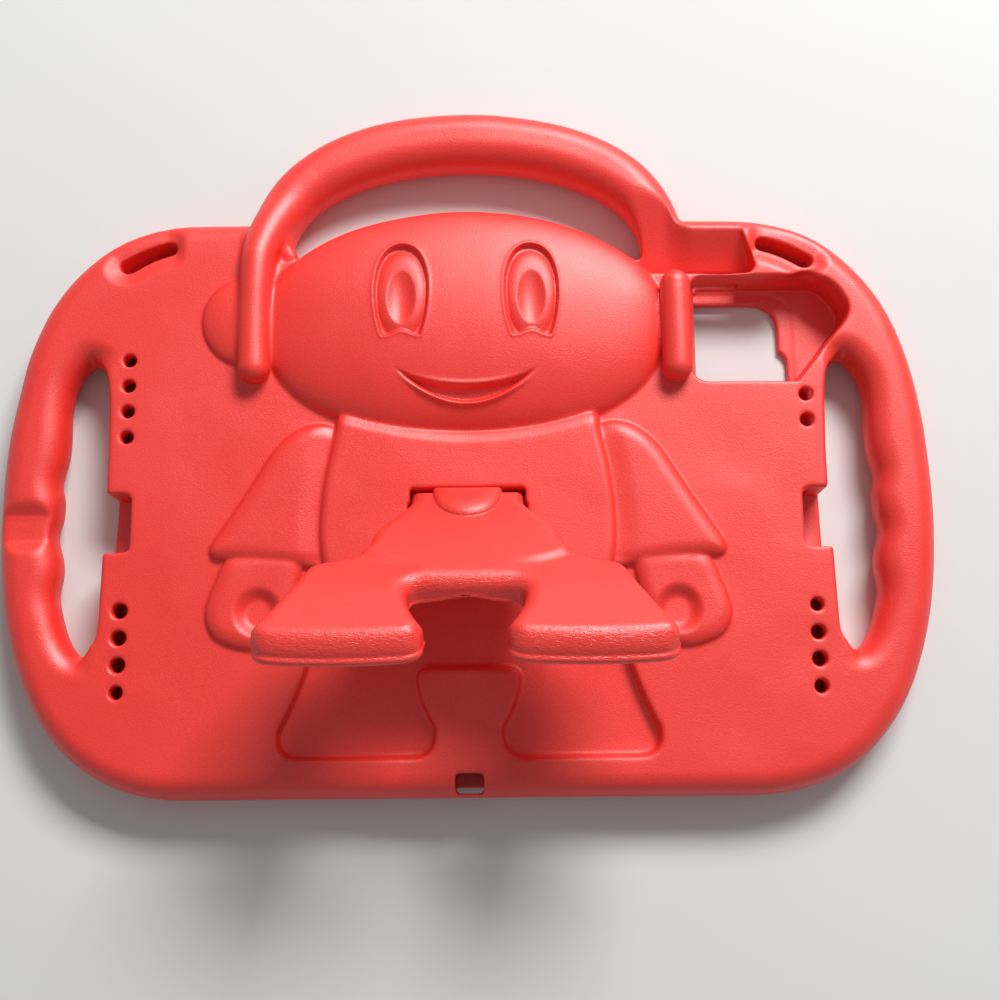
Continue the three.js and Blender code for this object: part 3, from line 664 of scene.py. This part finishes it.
def foam_object(name, mould, limit, placed):
    """The skin of a mould as a mesh in metres, thinned to a number of triangles and smooth-shaded."""
    points, quads = mould.faces()
    if np.linalg.det(placed(np.eye(3)) - placed(np.zeros((3, 3)))) < 0:
        quads = quads[:, ::-1]
    mesh = bpy.data.meshes.new(name)
    mesh.vertices.add(len(points))
    mesh.vertices.foreach_set("co", points.astype(np.float32).ravel())
    mesh.loops.add(quads.size)
    mesh.loops.foreach_set("vertex_index", quads.astype(np.int32).ravel())
    mesh.polygons.add(len(quads))
    mesh.polygons.foreach_set("loop_start", np.arange(0, quads.size, 4, dtype=np.int32))
    mesh.update(calc_edges=True)
    full = bpy.data.objects.new(name + "_full", mesh)
    bpy.context.scene.collection.objects.link(full)
    thin = full.modifiers.new("thin", "DECIMATE")
    thin.ratio = min(1, limit / (2 * len(quads)))
    thin.use_collapse_triangulate = True
    graph = bpy.context.evaluated_depsgraph_get()
    made = bpy.data.meshes.new_from_object(full.evaluated_get(graph))
    made.name = name
    bpy.data.objects.remove(full)
    bpy.data.meshes.remove(mesh)
    kept = np.empty(3 * len(made.vertices), np.float32)
    made.vertices.foreach_get("co", kept)
    kept = kept.reshape(-1, 3).astype(float)
    towards = mould.normals(kept)
    turned = placed(kept + towards) - placed(kept)
    made.vertices.foreach_set("co", (placed(kept) * MM).astype(np.float32).ravel())
    made.polygons.foreach_set("use_smooth", np.ones(len(made.polygons), bool))
    made.update()
    made.normals_split_custom_set_from_vertices(turned.tolist())
    piece = bpy.data.objects.new(name, made)
    bpy.context.scene.collection.objects.link(piece)
    return piece


def lumps(points, size, seed):
    """Smooth random heights from 0 to 1 with about one lump every size, along each axis."""
    cells = 32
    lattice = np.random.default_rng(seed).random((cells, cells, cells))
    at = points / size
    base = np.floor(at).astype(int)
    share = at - base
    share = share * share * (3 - 2 * share)
    total = 0
    for corner in itertools.product((0, 1), repeat=3):
        i, j, k = ((base + corner) % cells).T
        total = total + lattice[i, j, k] * np.prod(np.where(corner, share, 1 - share), 1)
    return total


# Soft dents and sags of the foam, random but the same each time, and the flat side it lies on
x, y = np.meshgrid(shell.xs, shell.ys, indexing="ij")
flat_places = np.stack([x.ravel(), y.ravel(), np.full(x.size, plate_top)], 1)
sag = np.maximum(lumps(flat_places, 24, 3) - 0.45, 0) * 0.9 + lumps(flat_places, 9, 4) * 0.12
shell.press(slice(None), sag.reshape(x.shape).astype(np.float32))
shell.skin = np.maximum(shell.skin, -shell.zs)
most_triangles = 190000
case_shell = foam_object("foam_shell", shell, most_triangles, lambda points: points + [0, tablet_y, 0])


def moulded_grain():
    """Shader group of the pebbled skin that the mould gives the foam."""
    tree = bpy.data.node_groups.new("Moulded grain", "ShaderNodeTree")
    for label, start in (("Pebble size", 0.0006), ("Pebble depth", 0.5), ("Cloudiness", 0.5)):
        socket = tree.interface.new_socket(label, in_out="INPUT", socket_type="NodeSocketFloat")
        socket.default_value = start
    tree.interface.new_socket("Height", in_out="OUTPUT", socket_type="NodeSocketFloat")
    tree.interface.new_socket("Clouds", in_out="OUTPUT", socket_type="NodeSocketFloat")
    tree.interface.new_socket("Specks", in_out="OUTPUT", socket_type="NodeSocketFloat")
    nodes, links = tree.nodes, tree.links
    inlet = nodes.new("NodeGroupInput")
    outlet = nodes.new("NodeGroupOutput")
    place = nodes.new("ShaderNodeTexCoord")
    finer = nodes.new("ShaderNodeMath")
    finer.operation = "DIVIDE"
    finer.inputs[0].default_value = 1
    links.new(inlet.outputs["Pebble size"], finer.inputs[1])
    pebbles = nodes.new("ShaderNodeTexNoise")
    pebbles.inputs["Detail"].default_value = 2.5
    pebbles.inputs["Roughness"].default_value = 0.6
    links.new(place.outputs["Object"], pebbles.inputs["Vector"])
    links.new(finer.outputs[0], pebbles.inputs["Scale"])
    pits = nodes.new("ShaderNodeTexVoronoi")
    pits.feature = "SMOOTH_F1"
    links.new(place.outputs["Object"], pits.inputs["Vector"])
    links.new(finer.outputs[0], pits.inputs["Scale"])
    mixed = nodes.new("ShaderNodeMath")
    mixed.operation = "MULTIPLY_ADD"
    mixed.inputs[1].default_value = -0.5
    links.new(pits.outputs["Distance"], mixed.inputs[0])
    links.new(pebbles.outputs["Fac"], mixed.inputs[2])
    deep = nodes.new("ShaderNodeMath")
    deep.operation = "MULTIPLY"
    links.new(mixed.outputs[0], deep.inputs[0])
    links.new(inlet.outputs["Pebble depth"], deep.inputs[1])
    links.new(deep.outputs[0], outlet.inputs["Height"])
    clouds = nodes.new("ShaderNodeTexNoise")
    clouds.inputs["Scale"].default_value = 22
    clouds.inputs["Detail"].default_value = 4
    links.new(place.outputs["Object"], clouds.inputs["Vector"])
    cloudy = nodes.new("ShaderNodeMath")
    cloudy.operation = "MULTIPLY"
    links.new(clouds.outputs["Fac"], cloudy.inputs[0])
    links.new(inlet.outputs["Cloudiness"], cloudy.inputs[1])
    links.new(cloudy.outputs[0], outlet.inputs["Clouds"])
    links.new(pebbles.outputs["Fac"], outlet.inputs["Specks"])
    return tree


grain = moulded_grain()


def wrinkled_skin():
    """Shader group of the fine wrinkles that run along the rounded edges of the stand."""
    tree = bpy.data.node_groups.new("Wrinkled skin", "ShaderNodeTree")
    for label, start in (("Wrinkles in a metre", 1000), ("Wrinkle depth", 0.5), ("Mask", 1)):
        socket = tree.interface.new_socket(label, in_out="INPUT", socket_type="NodeSocketFloat")
        socket.default_value = start
    tree.interface.new_socket("Height", in_out="OUTPUT", socket_type="NodeSocketFloat")
    nodes, links = tree.nodes, tree.links
    inlet = nodes.new("NodeGroupInput")
    outlet = nodes.new("NodeGroupOutput")
    place = nodes.new("ShaderNodeTexCoord")
    stretched = nodes.new("ShaderNodeMapping")
    stretched.inputs["Scale"].default_value = (0.36, 1, 1)
    links.new(place.outputs["Object"], stretched.inputs["Vector"])
    folds = nodes.new("ShaderNodeTexNoise")
    folds.inputs["Detail"].default_value = 1
    folds.inputs["Distortion"].default_value = 1.4
    links.new(stretched.outputs["Vector"], folds.inputs["Vector"])
    links.new(inlet.outputs["Wrinkles in a metre"], folds.inputs["Scale"])
    deep = nodes.new("ShaderNodeMath")
    deep.operation = "MULTIPLY"
    links.new(folds.outputs["Fac"], deep.inputs[0])
    links.new(inlet.outputs["Wrinkle depth"], deep.inputs[1])
    masked = nodes.new("ShaderNodeMath")
    masked.operation = "MULTIPLY"
    links.new(deep.outputs[0], masked.inputs[0])
    links.new(inlet.outputs["Mask"], masked.inputs[1])
    links.new(masked.outputs[0], outlet.inputs["Height"])
    return tree


wrinkles = wrinkled_skin()


def foam_material(name, light, dark, roughness, pebble, depth, creased=0):
    """Satin foam: the two colours mix with the grain, and the grain stands up as a bump. The
    pebbles are pebble metres wide, and the wrinkles show only where the piece has its mask."""
    material = bpy.data.materials.new(name)
    material.use_nodes = True
    nodes, links = material.node_tree.nodes, material.node_tree.links
    shader = nodes["Principled BSDF"]
    shader.inputs["Specular IOR Level"].default_value = 0.9
    shader.inputs["IOR"].default_value = 1.5
    skin = nodes.new("ShaderNodeGroup")
    skin.node_tree = grain
    skin.inputs["Pebble size"].default_value = pebble
    skin.inputs["Pebble depth"].default_value = depth
    skin.inputs["Cloudiness"].default_value = 1
    spread = nodes.new("ShaderNodeMapRange")
    spread.inputs["From Min"].default_value = 0.3
    spread.inputs["From Max"].default_value = 0.7
    links.new(skin.outputs["Specks"], spread.inputs["Value"])
    tint = nodes.new("ShaderNodeMix")
    tint.data_type = "RGBA"
    tint.inputs["A"].default_value = (*dark, 1)
    tint.inputs["B"].default_value = (*light, 1)
    links.new(spread.outputs["Result"], tint.inputs["Factor"])
    links.new(tint.outputs["Result"], shader.inputs["Base Color"])
    gloss = nodes.new("ShaderNodeMapRange")
    gloss.inputs["From Min"].default_value = 0.3
    gloss.inputs["From Max"].default_value = 0.7
    gloss.inputs["To Min"].default_value = roughness - 0.06
    gloss.inputs["To Max"].default_value = roughness + 0.06
    links.new(skin.outputs["Clouds"], gloss.inputs["Value"])
    links.new(gloss.outputs["Result"], shader.inputs["Roughness"])
    bump = nodes.new("ShaderNodeBump")
    bump.inputs["Strength"].default_value = 1
    bump.inputs["Distance"].default_value = 0.0002
    creases = nodes.new("ShaderNodeGroup")
    creases.node_tree = wrinkles
    creases.inputs["Wrinkles in a metre"].default_value = 1250
    creases.inputs["Wrinkle depth"].default_value = creased
    mask = nodes.new("ShaderNodeAttribute")
    mask.attribute_name = "creased"
    links.new(mask.outputs["Fac"], creases.inputs["Mask"])
    both = nodes.new("ShaderNodeMath")
    both.operation = "ADD"
    links.new(skin.outputs["Height"], both.inputs[0])
    links.new(creases.outputs["Height"], both.inputs[1])
    links.new(both.outputs[0], bump.inputs["Height"])
    links.new(bump.outputs["Normal"], shader.inputs["Normal"])
    return material


shell_foam = foam_material(
    "shell_foam",
    light=(0.89, 0.038, 0.026),
    dark=(0.79, 0.018, 0.011),
    roughness=0.46,
    pebble=0.0005,
    depth=0.45,
)
case_shell.data.materials.clear()
case_shell.data.materials.append(shell_foam)
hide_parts("case_shell")
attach(case_shell, "case")

# Kickstand
# The figure's hips and legs, a separate moulding of the same foam, folded out on a root bar that
# turns in the slot. Its rounded edges have a wrinkled skin, and a fine flash line runs round it.
stand_fine = 0.45
stand_under = 2
stand_top = 8.5
stand_round = 5.6
root_radius = 3.6
spread_angle = math.radians(47)
lean = 0.3  # how far the soles stand to the right of the hinge
sole_curve = 1.8
scoop_depth = 5
flash_radius = 0.6
legs = Mould(
    np.arange(-74, 74, stand_fine, dtype=np.float32),
    np.arange(-6, 96, stand_fine, dtype=np.float32),
    np.arange(-6, 13, stand_fine, dtype=np.float32),
)
leg_points = leg_outline(0)
place, xs, ys = legs.patch(leg_points)
flat = distance(leg_points, xs, ys)
drawn_back = ((np.abs(xs) - 40) / 27) ** 2
flat += (sole_curve * drawn_back[:, None] * ramp(ys, 80, 88)[None, :]).astype(np.float32)
x, s = np.meshgrid(xs, ys, indexing="ij")
scoop = scoop_depth * np.exp(-((x / 9) ** 2)) * ramp(s, 40, 54) * ramp(s, 62, 57)
under = (scoop - stand_under)[:, :, None]
legs.add(place, np.maximum(
    slab(flat, legs.zs, -stand_under - 10, stand_top, stand_round),
    slab(flat, legs.zs, under, stand_top + 10, 1.6),
))
beside = flat + 0.1 - ramp(s, 83, 89)
flash = np.hypot(beside[:, :, None], legs.zs + 1 - scoop[:, :, None]) - flash_radius
legs.add(place, np.where((s > 12)[:, :, None], flash, empty), 0.5)
from_hinge = np.hypot(legs.ys[None, :, None], legs.zs[None, None, :])
from_middle = np.abs(legs.xs)[:, None, None]
for radius, end, blend in ((root_radius, neck, 1.5), (pin_radius, pin_end, 0.3)):
    legs.add(slice(None), np.maximum(from_hinge - radius, from_middle - end), blend)

# The thighs lie a little lower than the hips, with a soft step between them
thigh_step = 1.5
hips = smooth_outline([
    (-40, -8), (40, -8), (38, 30), (31, 43), (12, 49), (-12, 49), (-31, 43), (-38, 30),
])
place, xs, ys = legs.patch(hips, 40)
thigh = ramp(distance(hips, xs, ys), -1, 4)
thigh = thigh * ramp(np.abs(xs), 12, 26)[:, None] * ramp(ys, 66, 44)[None, :]
legs.skin[place] += thigh_step * thigh[:, :, None] * ramp(legs.zs, 2, 5)

# The soles swell a little between their upper edge and the flash line. Past the root, the
# underside stays level.
sole_swell = 1.5
swell = np.exp(-(((legs.zs - 1) / 3.4) ** 2))[None, None, :] * ramp(legs.ys, 82, 88)[None, :, None]
swell = swell * ramp(np.abs(legs.xs), 69, 62)[:, None, None]
legs.skin -= sole_swell * swell.astype(np.float32)
level = -stand_under - 0.3 - legs.zs[None, None, :]
legs.skin = np.maximum(legs.skin, np.where(legs.ys[None, :, None] > 20, level, -empty))

# Half-disc tongue on the hips, from the slot's edge down
tongue = outline(
    (-12.3, 5.4),
    [(-12.6, 14), (-9, 22.6), (0, 23)],
    [(9, 22.6), (12.6, 14), (12.3, 5.4)],
)
legs.puff(tongue, stand_top - 0.3, 3.2, 6.5, 0.5)

# Wrinkles of the skin along the rounded edges, as real relief
wrinkle_relief = 0.05
near = (np.abs(legs.skin) < 2) & (legs.zs > 0)
places = np.stack([along[i] for along, i in zip((legs.xs, legs.ys, legs.zs), np.nonzero(near))], 1)
ridges = 0
for seed, size in ((11, (4.2, 1.5, 1.5)), (12, (2.6, 1, 1))):
    bent = places + 1.5 * lumps(places, 5, seed + 20)[:, None]
    ridges = ridges + 0.5 * np.abs(2 * lumps(bent, np.array(size), seed) - 1)
band = ramp(distance_at(leg_points, places[:, 0], places[:, 1]), -5.5, -3) * ramp(places[:, 1], 34, 46)
legs.skin[near] += wrinkle_relief * band * (1 - ridges)


def folded_out(points):
    """From the stand's own plane to its place on the case, turned out about its hinge."""
    x, s, t = points.T
    x = x + lean * s / stand_length
    y = hinge_y + tablet_y - s * math.cos(spread_angle) + t * math.sin(spread_angle)
    return np.stack([x, y, hinge_z + s * math.sin(spread_angle) + t * math.cos(spread_angle)], 1)


kickstand = foam_object("foam_kickstand", legs, most_triangles, folded_out)

# Mask for the wrinkled skin: 1 along the rounded edges and round the tongue, 0 elsewhere
points = np.empty(3 * len(kickstand.data.vertices), np.float32)
kickstand.data.vertices.foreach_get("co", points)
x, y, z = points.reshape(-1, 3).T / MM
out, up = y - hinge_y - tablet_y, z - hinge_z
s = up * math.sin(spread_angle) - out * math.cos(spread_angle)
t = up * math.cos(spread_angle) + out * math.sin(spread_angle)
edge = distance_at(leg_points, x - lean * s / stand_length, s)
creased = ramp(edge, -5.5, -2.5) * ramp(s, 34, 46) * ramp(t, -1.5, 1)
on_tongue = ramp(distance_at(tongue, x, s), -4, -1.5) * (t > stand_top + 0.3) * ramp(s, 10, 18)
mask = kickstand.data.attributes.new("creased", "FLOAT", "POINT")
mask.data.foreach_set("value", np.maximum(creased, on_tongue).astype(np.float32))
stand_foam = foam_material(
    "stand_foam",
    light=(0.87, 0.044, 0.032),
    dark=(0.79, 0.024, 0.016),
    roughness=0.42,
    pebble=0.0005,
    depth=0.36,
    creased=1,
)
kickstand.data.materials.clear()
kickstand.data.materials.append(stand_foam)
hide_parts("kickstand")
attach(kickstand, "stand")

# Floor, light and camera
# A plain pale table, one soft window-like light from the upper right and a weaker light all round.
bpy.ops.mesh.primitive_plane_add(size=6)
floor = bpy.context.object
floor.name = "floor"
floor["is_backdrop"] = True
pale = bpy.data.materials.new("pale_floor")
pale.use_nodes = True
pale.node_tree.nodes["Principled BSDF"].inputs["Base Color"].default_value = (0.68, 0.68, 0.67, 1)
pale.node_tree.nodes["Principled BSDF"].inputs["Roughness"].default_value = 0.9
floor.data.materials.append(pale)

world = bpy.data.worlds.new("studio")
bpy.context.scene.world = world
world.use_nodes = True
world.node_tree.nodes["Background"].inputs["Color"].default_value = (1, 1, 1, 1)
world.node_tree.nodes["Background"].inputs["Strength"].default_value = 0.3

window_light = bpy.data.lights.new("window", "AREA")
window_light.shape = "RECTANGLE"
window_light.size = 0.8
window_light.size_y = 0.45
window_light.energy = 34.5
lamp = bpy.data.objects.new("window", window_light)
lamp.location = (0.52, 1.12, 1.08)
lamp.rotation_euler = (-Vector(lamp.location)).to_track_quat("-Z", "Y").to_euler()
bpy.context.scene.collection.objects.link(lamp)

picture_width = 999
focal_pixels = 1300
sensor = 36
camera = bpy.data.cameras.new("camera")
camera.sensor_fit = "HORIZONTAL"
camera.sensor_width = sensor
camera.lens = sensor * focal_pixels / picture_width
viewer = bpy.data.objects.new("camera", camera)
turn = Vector((0.1866266, -0.0024521, -0.0098057))  # axis times angle, fitted to the photo
viewer.matrix_world = Matrix.Translation((0.009917, -0.112013, 0.483911)) @ Matrix.Rotation(
    turn.length, 4, turn.normalized()
)
bpy.context.scene.collection.objects.link(viewer)
bpy.context.scene.camera = viewer
bpy.context.scene.view_settings.view_transform = "Standard"

low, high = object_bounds()
